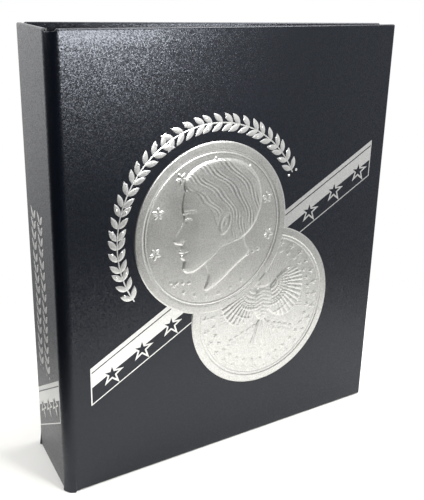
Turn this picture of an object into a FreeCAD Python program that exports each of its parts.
"""Ring album for coins: padded boards in leatherette, a three-ring mechanism and coin leaves.

Frame: millimetres, +Z up. The closed album stands on the bottom edges of its three boards.
X runs from the spine to the fore-edge, the front cover faces -Y and the back cover faces +Y.
The origin is under the middle of the closed album. The covers lean towards each other, so in
plan the album is a wedge: the spine is wider than the fore-edge.
"""
import FreeCAD, Part
import math
import os

import Sketcher

from FreeCAD import Placement, Rotation, Vector

SIZES = {
    # the case
    "album_height": 298.0,
    "cover_width": 261.4,       # spine corner to fore-edge, along the cover
    "ring_to_corner": 10.8,     # from the outside of a ring to the spine corner beside it
    "cover_lean": 5.6,          # degrees that each closed cover leans inwards
    "corner_roll": 4.5,         # outside radius of the leatherette at the spine corners
    "board_thick": 2.4,
    "skin_thick": 0.5,          # leatherette, and the lining paper
    "board_inset": 2.0,         # from the end of a wrap at a hinge to the end of its board
    "turn_in": 15.0,            # leatherette turned over on to the inside of a board
    "hinge_cloth": 0.9,         # leatherette and lining together, where they bend
    # foil on the case
    "foil_thick": 0.2,
    "medal_size": 119.6,
    "head_medal_across": 111.4,  # centre, from the spine corner along the cover
    "head_medal_up": 167.7,
    "bird_medal_across": 154.5,
    "bird_medal_up": 103.2,
    "band_slope": 29.1,         # degrees
    "band_start": 19.2,
    "band_end": 248.6,
    "band_up": 88.6,            # upper corner at band_start
    "band_tall": 27.0,          # measured upright
    "wreath_inner": 66.0,
    "wreath_outer": 77.5,
    "wreath_from": 27.0,        # degrees round the head medal
    "wreath_sweep": 186.0,
    "spine_band_across": 55.0,
    "spine_band_inset": 8.0,    # from the front spine corner
    "spine_band_up": 81.6,      # upper corner near the front
    "spine_band_tall": 31.5,
    "spine_band_slope": 30.8,
    "spray_up": 71.0,           # the two sprays on the spine
    "spray_length": 116.0,
    "spray_width": 13.0,
    "spray_first": 33.5,
    "spray_second": 49.0,
    # ring mechanism, heights taken from the lined face of the spine
    "ring_radius": 23.0,        # to the middle of the wire
    "wire_size": 3.4,
    "ring_pitch": 108.0,
    "ring_foot": 8.0,           # where a half ring meets its blade, from the centre line
    "ring_gap": 0.1,            # between the tips of two closed half rings
    "blade_reach": 12.4,        # pivot edge of a blade, from the centre line
    "blade_level": 3.4,         # height of the pivot edges
    "blade_thick": 0.8,
    "blade_dip": 4.0,           # degrees that a closed blade dips to the centre line
    "blade_end": 7.0,           # housing left free of the blades at each end
    "housing_width": 28.0,
    "housing_rise": 9.0,
    "housing_wall": 5.0,
    "housing_sheet": 1.0,
    "housing_length": 268.0,
    "slot_inner": 7.0,          # from the centre line
    "slot_level": 2.6,
    "slot_clear": 1.0,
    "post_size": 4.0,
    "post_head": 9.0,
    "post_head_thick": 0.8,
    "post_spacing": 162.0,
    "post_notch": 4.0,          # half the opening in the blades round a post
    "pin_size": 2.5,
    "pin_clear": 0.06,
    "pin_inset": 4.5,           # from the end of the housing
    "pin_level": 3.6,
    "trigger_width": 15.0,
    "trigger_boss": 2.3,
    "trigger_arm": 10.0,
    "trigger_arm_slope": 27.0,
    "trigger_thumb": 8.5,
    "trigger_thumb_slope": 70.0,
    "trigger_thick": 1.6,
    "nose_length": 4.6,
    "nose_width": 5.0,
    "nose_thick": 1.0,
    "nose_level": 0.8,
    # leaves
    "leaf_pitch": 3.2,
    "leaf_width": 205.0,
    "leaf_height": 279.0,
    "strip_width": 23.0,
    "strip_thick": 1.0,
    "film_thick": 0.2,
    "card_thick": 2.2,
    "card_margin": 3.0,         # sleeve above the top of the card
    "weld": 1.5,                # closed seam round a sleeve
    "hole_size": 8.6,
    "hole_edge": 9.0,           # hole centre to the binding edge
    "hole_lead": 1.75,          # hole centre outside the line of the wire
    "coin_bore": 30.8,
    "column_pitch": 54.0,
    "row_pitch": 62.0,
}
RING_COUNT = 3
LEAF_COUNT = 4
COIN_COLUMNS = 3
COIN_ROWS = 4

# ---------------------------------------------------------------- worked out from the sizes
lean = math.radians(SIZES["cover_lean"])
panel_thick = SIZES["board_thick"] + 2 * SIZES["skin_thick"]
corner_angle = math.pi / 2 - lean
roll_reach = SIZES["corner_roll"] / math.tan(corner_angle / 2)
spine_width = 2 * (SIZES["ring_radius"] + SIZES["wire_size"] / 2 + SIZES["ring_to_corner"])
case_length = SIZES["cover_width"] * math.cos(lean)
spine_x = -(case_length - SIZES["foil_thick"]) / 2
roll_centre = SIZES["corner_roll"] / math.sin(corner_angle / 2)
lined_x = spine_x + panel_thick
ring_rise = math.sqrt(SIZES["ring_radius"] ** 2 - SIZES["ring_foot"] ** 2)
ring_x = lined_x + SIZES["blade_level"] + ring_rise
leaf_thick = SIZES["card_thick"] + 2 * SIZES["film_thick"]

WORKED_OUT = {
    "spine_width": spine_width,     # between the two spine corners
    "panel_thick": panel_thick,
    "roll_reach": roll_reach,       # spine corner to where a flat panel starts
    "spine_x": spine_x,             # outside of the spine
    "lined_x": lined_x,             # lined face of the spine
    "leaf_thick": leaf_thick,
}

document = FreeCAD.newDocument("ring_album")
sheet = document.addObject("Spreadsheet::Sheet", "Sizes")
for row, (alias, value) in enumerate(list(SIZES.items()) + list(WORKED_OUT.items()), start=1):
    sheet.set("A%d" % row, alias)
    sheet.set("B%d" % row, repr(float(value)))
    sheet.setAlias("B%d" % row, alias)
document.recompute()


def size(alias):
    """The value in the sheet's cell."""
    return float(getattr(sheet, alias))


def bind(thing, **expressions):
    """Tie properties to the sheet; a bare word in an expression is one of its aliases."""
    names = sorted(list(SIZES) + list(WORKED_OUT), key=len, reverse=True)
    for name, text in expressions.items():
        words = []
        for word in text.replace("(", "( ").replace(")", " )").split():
            words.append("Sizes." + word if word in names else word)
        thing.setExpression(name.replace("__", "."), " ".join(words))


def box(name, length, width, height):
    """A box with its three sizes bound to the sheet."""
    block = document.addObject("Part::Box", name)
    bind(block, Length=length, Width=width, Height=height)
    return block


def cut(name, base, tool):
    result = document.addObject("Part::Cut", name)
    result.Base = base
    result.Tool = tool
    return result


def join(name, *pieces):
    result = document.addObject("Part::MultiFuse", name)
    result.Shapes = list(pieces)
    return result


def body_sketch(body, name, plane):
    """An empty sketch on one of the body's own origin planes."""
    sketch = body.newObject("Sketcher::SketchObject", name)
    role = [feature for feature in body.Origin.OriginFeatures if feature.Role == plane][0]
    sketch.AttachmentSupport = (role, [""])
    sketch.MapMode = "FlatFace"
    return sketch


def draw_rectangle(sketch, low, high, tag=""):
    """Four lines between two corners, each corner coordinate an expression of the sheet."""
    first = sketch.GeometryCount
    start = [(0, 0), (1, 0), (1, 1), (0, 1)]
    for (a, b), (c, d) in zip(start, start[1:] + start[:1]):
        sketch.addGeometry(Part.LineSegment(Vector(10 * a, 10 * b, 0), Vector(10 * c, 10 * d, 0)))
    for side in range(4):
        sketch.addConstraint(Sketcher.Constraint("Coincident", first + side, 2,
                                                 first + (side + 1) % 4, 1))
    for side in (0, 2):
        sketch.addConstraint(Sketcher.Constraint("Horizontal", first + side))
        sketch.addConstraint(Sketcher.Constraint("Vertical", first + side + 1))
    held = (("left", "DistanceX", 0, low[0]), ("low", "DistanceY", 0, low[1]),
            ("right", "DistanceX", 2, high[0]), ("high", "DistanceY", 2, high[1]))
    for label, kind, side, expression in held:
        number = sketch.addConstraint(Sketcher.Constraint(kind, -1, 1, first + side, 1, 1.0))
        sketch.renameConstraint(number, label + tag)
        bind(sketch, **{"Constraints__" + label + tag: expression})


parts = []


def keep(thing, name, placement=None):
    """Name a finished sub-part and put it in its place."""
    thing.Label = name
    if placement is not None:
        thing.Placement = placement
    parts.append(thing)
    return thing


def along(placement, x=0.0, y=0.0, z=0.0, turn=None):
    """A place inside another one."""
    return placement.multiply(Placement(Vector(x, y, z), turn or Rotation()))


UPRIGHT = Rotation(Vector(1, 0, 0), 90)     # turns a cylinder's axis from +Z to -Y
ORIGIN = Placement()
SIDES = (("front", -1), ("back", 1))


def cover_frame(side):
    """Where a cover starts: side is -1 for the front cover and +1 for the back cover."""
    corner = Vector(size("spine_x"), side * size("spine_width") / 2, 0)
    return Placement(corner, Rotation(Vector(0, 0, 1), -side * size("cover_lean")))


def inwards(side, start, thick):
    """Lower y of a layer that starts at a depth below the outer face of a cover."""
    return start if side < 0 else -(start + thick)


# ---------------------------------------------------------------- covers
def make_cover(name, side):
    """Board, leatherette with turned edges, and lining of one cover."""
    frame = cover_frame(side)
    skin = size("skin_thick")
    board_low = inwards(side, skin, size("board_thick"))
    board_start = size("roll_reach") + size("board_inset")
    board_size = ("cover_width - roll_reach - board_inset - skin_thick", "board_thick",
                  "album_height - 2 * skin_thick")
    lining_low = inwards(side, skin + size("board_thick"), skin)
    lining_size = ("cover_width - roll_reach - turn_in", "skin_thick",
                   "album_height - 2 * turn_in")

    board = box(name + "_board_block", *board_size)
    keep(board, name + "_board", along(frame, board_start, board_low, skin))
    lining = box(name + "_lining_block", *lining_size)
    keep(lining, name + "_lining",
         along(frame, size("roll_reach"), lining_low, size("turn_in")))

    shell = box(name + "_shell", "cover_width - roll_reach", "panel_thick", "album_height")
    shell.Placement = along(ORIGIN, size("roll_reach"), inwards(side, 0, size("panel_thick")))
    hollow = box(name + "_hollow", *board_size)
    hollow.Placement = along(ORIGIN, board_start, board_low, skin)
    window = box(name + "_window", *lining_size)
    window.Placement = along(ORIGIN, size("roll_reach"), lining_low, size("turn_in"))
    wrap = cut(name + "_wrap_shape", shell, join(name + "_inside", hollow, window))
    keep(wrap, name + "_wrap", frame)


# ---------------------------------------------------------------- spine
def make_spine():
    """Spine board, leatherette and lining, each with the way through for the two posts."""
    skin = size("skin_thick")
    half_flat = size("spine_width") / 2 - size("roll_reach")
    outside = size("spine_x")
    board_size = ("board_thick", "spine_width - 2 * roll_reach - 2 * board_inset",
                  "album_height - 2 * skin_thick")
    lining_size = ("skin_thick", "spine_width - 2 * roll_reach", "album_height - 2 * turn_in")
    board_place = along(ORIGIN, outside + skin, size("board_inset") - half_flat, skin)
    lining_place = along(ORIGIN, outside + skin + size("board_thick"), -half_flat,
                         size("turn_in"))

    board = box("spine_board_block", *board_size)
    board.Placement = board_place
    keep(cut("spine_board_shape", board, post_solids("board_post")), "spine_board")
    lining = box("spine_lining_block", *lining_size)
    lining.Placement = lining_place
    keep(cut("spine_lining_shape", lining, post_solids("lining_post")), "spine_lining")

    shell = box("spine_shell", "panel_thick", "spine_width - 2 * roll_reach", "album_height")
    shell.Placement = along(ORIGIN, outside, -half_flat)
    hollow = box("spine_hollow", *board_size)
    hollow.Placement = board_place
    window = box("spine_window", *lining_size)
    window.Placement = lining_place
    keep(cut("spine_wrap_shape", shell, join("spine_inside", hollow, window)), "spine_wrap")


def round_bar(name, radius, length, start, direction):
    """A cylinder with its radius and length bound to the sheet."""
    bar = document.addObject("Part::Cylinder", name)
    bind(bar, Radius=radius, Height=length)
    bar.Placement = Placement(start, Rotation(Vector(0, 0, 1), direction))
    return bar


def post_levels():
    middle = size("album_height") / 2
    return [middle - size("post_spacing") / 2, middle + size("post_spacing") / 2]


def post_solids(name):
    """The two posts: a flat head let into the board, a shank, and a head on the housing."""
    pieces = []
    for number, level in enumerate(post_levels()):
        tag = "%s_%d" % (name, number)
        head_x = size("spine_x") + size("skin_thick")
        top_x = size("lined_x") + size("housing_rise")
        pieces.append(round_bar(tag + "_head", "post_head / 2", "post_head_thick",
                                Vector(head_x, 0, level), Vector(1, 0, 0)))
        pieces.append(round_bar(tag + "_shank", "post_size / 2",
                                "panel_thick - skin_thick + housing_rise",
                                Vector(head_x, 0, level), Vector(1, 0, 0)))
        pieces.append(round_bar(tag + "_cap", "post_head / 2 - skin_thick", "post_head_thick",
                                Vector(top_x, 0, level), Vector(1, 0, 0)))
    return join(name, *pieces)


def make_hinge_strip(name, side):
    """The leatherette and lining that bend between the spine and a cover: a round corner."""
    outer = document.addObject("Part::Cylinder", name + "_outside")
    bind(outer, Radius="corner_roll", Height="album_height", Angle="90 + cover_lean")
    inner = document.addObject("Part::Cylinder", name + "_inside")
    bind(inner, Radius="corner_roll - hinge_cloth", Height="album_height",
         Angle="90 + cover_lean")
    strip = cut(name + "_shape", outer, inner)
    toward = math.radians((90 + size("cover_lean")) / 2)
    middle = Vector(size("spine_x") + roll_centre * math.cos(toward),
                    side * (size("spine_width") / 2 - roll_centre * math.sin(toward)), 0)
    start = 180 if side < 0 else 90 - size("cover_lean")
    keep(strip, name, Placement(middle, Rotation(Vector(0, 0, 1), start)))


# ---------------------------------------------------------------- foil on the front cover
def disc(name, across, up):
    """A foil disc on the outer face of the front cover."""
    plate = document.addObject("Part::Cylinder", name)
    bind(plate, Radius="medal_size / 2", Height="foil_thick")
    plate.Placement = Placement(Vector(size(across), 0, size(up)), UPRIGHT)
    return plate


def slanted_band(name, start, end, high, tall, slope):
    """A foil band with upright ends: a turned strip cut off by an upright box."""
    angle = math.radians(slope)
    run = (end - start) / math.cos(angle)
    fall = tall * math.cos(angle)
    strip = document.addObject("Part::Box", name + "_strip")
    strip.Length = run + 2 * tall
    strip.Width = size("foil_thick")
    strip.Height = fall
    back = Vector(-tall * math.cos(angle), 0, -tall * math.sin(angle))
    down = Vector(fall * math.sin(angle), 0, -fall * math.cos(angle))
    strip.Placement = Placement(Vector(start, -size("foil_thick"), high) + back + down,
                                Rotation(Vector(0, -1, 0), slope))
    limit = document.addObject("Part::Box", name + "_limit")
    limit.Length = end - start
    limit.Width = size("foil_thick")
    limit.Height = size("album_height")
    limit.Placement = Placement(Vector(start, -size("foil_thick"), 0), Rotation())
    band = document.addObject("Part::Common", name + "_band")
    band.Base = strip
    band.Tool = limit
    return band


def make_front_foil():
    """Two medals, the star band behind them, and the wreath round the upper medal."""
    frame = cover_frame(-1)
    medal = disc("head_medal_disc", "head_medal_across", "head_medal_up")
    keep(medal, "foil_head_medal", frame.multiply(medal.Placement))

    head_tool = disc("head_medal_tool", "head_medal_across", "head_medal_up")
    bird = disc("bird_medal_disc", "bird_medal_across", "bird_medal_up")
    keep(cut("bird_medal_shape", bird, head_tool), "foil_bird_medal", frame)

    slope = math.tan(math.radians(size("band_slope")))
    pieces = (("lower", size("band_start"), size("head_medal_across")),
              ("upper", size("bird_medal_across"), size("band_end")))
    for name, start, end in pieces:
        high = size("band_up") + slope * (start - size("band_start"))
        band = slanted_band("band_" + name, start, end, high, size("band_tall"),
                            size("band_slope"))
        medals = join("medals_" + name,
                      disc("head_for_" + name, "head_medal_across", "head_medal_up"),
                      disc("bird_for_" + name, "bird_medal_across", "bird_medal_up"))
        keep(cut("band_shape_" + name, band, medals), "foil_band_" + name, frame)

    outer = document.addObject("Part::Cylinder", "wreath_outside")
    bind(outer, Radius="wreath_outer", Height="foil_thick", Angle="wreath_sweep")
    inner = document.addObject("Part::Cylinder", "wreath_inside")
    bind(inner, Radius="wreath_inner", Height="foil_thick", Angle="wreath_sweep")
    turn = UPRIGHT.multiply(Rotation(Vector(0, 0, 1), size("wreath_from")))
    keep(cut("wreath_shape", outer, inner), "foil_wreath",
         along(frame, size("head_medal_across"), 0, size("head_medal_up"), turn))


def make_spine_foil():
    """A short star band and two long sprays on the outside of the spine."""
    corner = Vector(size("spine_x"), -size("spine_width") / 2, 0)
    face = Placement(corner, Rotation(Vector(0, 0, 1), 90))     # x runs from front to back
    band = slanted_band("spine_band", size("spine_band_inset"),
                        size("spine_band_inset") + size("spine_band_across"),
                        size("spine_band_up"), size("spine_band_tall"),
                        -size("spine_band_slope"))
    keep(band, "foil_spine_band", along(face, 0, size("foil_thick")))
    for name in ("first", "second"):
        spray = box("spray_%s_block" % name, "spray_width", "foil_thick", "spray_length")
        keep(spray, "foil_spine_spray_" + name,
             along(face, size("spray_" + name), 0, size("spray_up")))


# ---------------------------------------------------------------- ring mechanism
housing_low = (size("album_height") - size("housing_length")) / 2
ring_levels = [size("album_height") / 2 + (number - (RING_COUNT - 1) / 2) * size("ring_pitch")
               for number in range(RING_COUNT)]
PLACES = ("bottom", "middle", "top")


def make_housing():
    """The arched steel channel: straight walls and a low round roof, slotted for the rings."""
    body = document.addObject("PartDesign::Body", "housing_body")
    profile = body_sketch(body, "housing_profile", "XY_Plane")
    half = size("housing_width") / 2
    metal = size("housing_sheet")
    wall = size("housing_wall")
    rise = size("housing_rise")

    def section(inset, top_inset):
        """Corners of one side of the sheet: foot, shoulder, crown, shoulder, foot."""
        return [Vector(0, inset - half), Vector(wall, inset - half),
                Vector(rise - top_inset, 0), Vector(wall, half - inset), Vector(0, half - inset)]

    outside = section(0, 0)
    inside = section(metal, metal)
    profile.addGeometry([
        Part.LineSegment(outside[0], outside[1]),
        Part.Arc(outside[1], outside[2], outside[3]),
        Part.LineSegment(outside[3], outside[4]),
        Part.LineSegment(outside[4], inside[4]),
        Part.LineSegment(inside[4], inside[3]),
        Part.Arc(inside[3], inside[2], inside[1]),
        Part.LineSegment(inside[1], inside[0]),
        Part.LineSegment(inside[0], outside[0])], False)
    pad = body.newObject("PartDesign::Pad", "housing_length_pad")
    pad.Profile = profile
    bind(pad, Length="housing_length")
    document.recompute()

    cutters = []
    for number, level in enumerate(ring_levels):
        for name, side in SIDES:
            slot = box("slot_%s_%d" % (name, number), "housing_rise",
                       "housing_width / 2 - slot_inner + 1", "wire_size + 2 * slot_clear")
            low_y = size("slot_inner") if side > 0 else -(half + 1)
            slot.Placement = along(ORIGIN, size("lined_x") + size("slot_level"), low_y,
                                   level - size("wire_size") / 2 - size("slot_clear"))
            cutters.append(slot)
    cutters.append(post_solids("housing_post"))
    for name, end in (("low", -1), ("high", 1)):
        cutters.append(trigger_pin("housing_pin_" + name, end))
    body.Placement = along(ORIGIN, size("lined_x"), 0, housing_low)
    keep(cut("housing_shape", body, join("housing_openings", *cutters)), "ring_housing")
    keep(post_solids("posts"), "mounting_posts")


def pin_place(end):
    """The middle of a trigger's pin; end is -1 at the bottom and +1 at the top."""
    reach = size("housing_length") / 2 - size("pin_inset")
    return Vector(size("lined_x") + size("pin_level"), 0, size("album_height") / 2 + end * reach)


def trigger_pin(name, end):
    """A pin across the housing, flush with both of its walls."""
    start = pin_place(end) - Vector(0, size("housing_width") / 2, 0)
    return round_bar(name, "pin_size / 2", "housing_width", start, Vector(0, 1, 0))


def make_trigger(name, end):
    """A lever with a boss on its pin, an arm and thumb rest outside, and a nose under the blades."""
    width = size("trigger_width")
    thick = size("trigger_thick")
    boss = document.addObject("Part::Cylinder", name + "_boss")
    bind(boss, Radius="trigger_boss", Height="trigger_width")
    boss.Placement = Placement(Vector(0, width / 2, 0), UPRIGHT)
    arm = box(name + "_arm", "trigger_thick", "trigger_width", "trigger_arm")
    tilt = Rotation(Vector(0, 1, 0), size("trigger_arm_slope"))
    arm.Placement = Placement(tilt.multVec(Vector(-thick / 2, -width / 2, 0)), tilt)
    elbow = tilt.multVec(Vector(0, 0, size("trigger_arm") - thick / 2))
    thumb = box(name + "_thumb", "trigger_thick", "trigger_width", "trigger_thumb")
    lift = Rotation(Vector(0, 1, 0), size("trigger_thumb_slope"))
    thumb.Placement = Placement(elbow + lift.multVec(Vector(-thick / 2, -width / 2, -thick / 2)),
                                lift)
    nose = box(name + "_nose", "nose_thick", "nose_width", "nose_length")
    nose.Placement = along(ORIGIN, size("nose_level") - size("pin_level"),
                           -size("nose_width") / 2, -size("nose_length"))
    bore = document.addObject("Part::Cylinder", name + "_bore")
    bind(bore, Radius="pin_size / 2 + pin_clear", Height="trigger_width + 2")
    bore.Placement = Placement(Vector(0, width / 2 + 1, 0), UPRIGHT)
    lever = cut(name + "_shape", join(name + "_solid", boss, arm, thumb, nose), bore)
    flip = Rotation() if end > 0 else Rotation(Vector(1, 0, 0), 180)
    keep(lever, name, Placement(pin_place(end), flip))


def blade_place(side):
    """The pivot edge of a blade, turned so that the blade dips towards the centre line."""
    edge = Vector(size("lined_x") + size("blade_level"), side * size("blade_reach"), 0)
    return Placement(edge, Rotation(Vector(0, 0, 1), -side * size("blade_dip")))


def blade_low(side):
    """Lower y of a blade's slab in its own place."""
    return size("ring_gap") / 2 - size("blade_reach") if side > 0 else 0


def make_blade(name, side):
    """A long flat steel strip with an opening round each post, and its three half rings."""
    reach = "blade_reach - ring_gap / 2"
    slab = box("blade_%s_slab" % name, "blade_thick", reach,
               "housing_length - 2 * blade_end")
    slab.Placement = along(blade_place(side), -size("blade_thick") / 2, blade_low(side),
                           housing_low + size("blade_end"))
    notches = []
    for number, level in enumerate(post_levels()):
        notch = box("notch_%s_%d" % (name, number), "housing_rise", "2 * post_notch",
                    "2 * post_notch")
        notch.Placement = along(ORIGIN, size("lined_x"), -size("post_notch"),
                                level - size("post_notch"))
        notches.append(notch)
    keep(cut("blade_%s_shape" % name, slab, join("notches_" + name, *notches)),
         "blade_" + name)

    for place, level in zip(PLACES, ring_levels):
        tag = name + "_" + place
        wire = document.addObject("Part::Torus", "wire_" + tag)
        bind(wire, Radius1="ring_radius", Radius2="wire_size / 2")
        tip = math.degrees(size("ring_gap") / 2 / size("ring_radius"))
        foot = 180 - math.degrees(math.asin(size("ring_foot") / size("ring_radius")))
        sweep = foot + 2 * size("wire_size") - tip
        wire.Angle3 = sweep
        start = tip if side > 0 else -(tip + sweep)
        wire.Placement = Placement(Vector(ring_x, 0, level), Rotation(Vector(0, 0, 1), start))
        under = box("under_" + tag, "blade_level + blade_thick", "blade_reach", "4 * wire_size")
        under.Placement = along(blade_place(side),
                                -size("blade_level") - size("blade_thick") / 2,
                                blade_low(side), level - 2 * size("wire_size"))
        keep(cut("half_ring_%s_shape" % tag, wire, under), "half_ring_" + tag)


# ---------------------------------------------------------------- leaves
def make_leaf(number):
    """A clear sleeve with a punched binding strip, and a card with round coin openings."""
    name = "leaf_%d" % (number + 1)
    leaf_y = (number - (LEAF_COUNT - 1) / 2) * size("leaf_pitch")
    hole_x = math.sqrt((size("ring_radius") + size("hole_lead")) ** 2 - leaf_y ** 2)
    low_z = (size("album_height") - size("leaf_height")) / 2
    place = Placement(Vector(ring_x + hole_x - size("hole_edge"), leaf_y, low_z), Rotation())

    strip = box(name + "_strip", "strip_width", "strip_thick", "leaf_height")
    strip.Placement = along(ORIGIN, 0, -size("strip_thick") / 2)
    pouch = box(name + "_pouch", "leaf_width - strip_width", "leaf_thick", "leaf_height")
    pouch.Placement = along(ORIGIN, size("strip_width"), -size("leaf_thick") / 2)
    pocket = box(name + "_pocket", "leaf_width - strip_width - 2 * weld", "card_thick",
                 "leaf_height - weld")
    pocket.Placement = along(ORIGIN, size("strip_width") + size("weld"),
                             -size("card_thick") / 2, size("weld"))
    holes = []
    for place_name, level in zip(PLACES, ring_levels):
        hole = round_bar("%s_hole_%s" % (name, place_name), "hole_size / 2", "2 * leaf_thick",
                         Vector(size("hole_edge"), -size("leaf_thick"), level - low_z),
                         Vector(0, 1, 0))
        holes.append(hole)
    sleeve = cut(name + "_sleeve_shape", join(name + "_outside", strip, pouch),
                 join(name + "_openings", pocket, *holes))
    keep(sleeve, name + "_sleeve", place)

    body = document.addObject("PartDesign::Body", name + "_card_body")
    face = body_sketch(body, name + "_card_face", "XZ_Plane")
    draw_rectangle(face, ("strip_width + weld", "weld"),
                   ("leaf_width - weld", "leaf_height - card_margin"))
    pad = body.newObject("PartDesign::Pad", name + "_card_pad")
    pad.Profile = face
    pad.SideType = "Symmetric"
    bind(pad, Length="card_thick")
    document.recompute()
    solid_card = pad.Shape.Volume

    row = body_sketch(body, name + "_coin_row", "XZ_Plane")
    middle_x = (size("strip_width") + size("leaf_width")) / 2
    first_z = (size("leaf_height") + size("weld") - size("card_margin")) / 2
    first_z -= (COIN_ROWS - 1) / 2 * size("row_pitch")
    for column in range(COIN_COLUMNS):
        column_x = middle_x + (column - (COIN_COLUMNS - 1) / 2) * size("column_pitch")
        row.addGeometry(Part.Circle(Vector(column_x, first_z, 0), Vector(0, 0, 1),
                                    size("coin_bore") / 2), False)
    pocket_row = body.newObject("PartDesign::Pocket", name + "_coin_pocket")
    pocket_row.Profile = row
    pocket_row.SideType = "Symmetric"
    bind(pocket_row, Length="2 * card_thick")
    document.recompute()
    rows = body.newObject("PartDesign::LinearPattern", name + "_coin_rows")
    rows.Originals = [pocket_row]
    rows.Direction = (row, ["V_Axis"])
    rows.Occurrences = COIN_ROWS
    bind(rows, Length="%d * row_pitch" % (COIN_ROWS - 1))
    body.Tip = rows
    document.recompute()
    removed = solid_card - body.Shape.Volume
    round_hole = math.pi * (size("coin_bore") / 2) ** 2 * size("card_thick")
    if abs(removed - COIN_ROWS * COIN_COLUMNS * round_hole) > 1:
        raise SystemExit("the coin openings of %s are not all cut" % name)
    keep(body, name + "_card", place)


# ---------------------------------------------------------------- the whole album
for cover_name, cover_side in SIDES:
    make_cover(cover_name, cover_side)
    make_hinge_strip("hinge_strip_" + cover_name, cover_side)
make_spine()
make_front_foil()
make_spine_foil()
make_housing()
for pin_name, pin_end in (("bottom", -1), ("top", 1)):
    keep(trigger_pin("pin_" + pin_name, pin_end), "trigger_pin_" + pin_name)
    make_trigger("trigger_" + pin_name, pin_end)
for blade_name, blade_side in SIDES:
    make_blade(blade_name, blade_side)
for leaf_number in range(LEAF_COUNT):
    make_leaf(leaf_number)
document.recompute()

for thing in document.Objects:
    if "Invalid" in thing.State or "Error" in thing.State:
        raise SystemExit("%s is not valid: %s" % (thing.Name, thing.State))
for thing in parts:
    if thing.Shape.isNull() or not thing.Shape.isValid() or not thing.Shape.Solids:
        raise SystemExit("%s has no valid solid" % thing.Label)

os.makedirs("parts", exist_ok=True)
for thing in parts:
    thing.Shape.exportStep(os.path.join("parts", thing.Label + ".step"))
print("%d sub-parts" % len(parts))
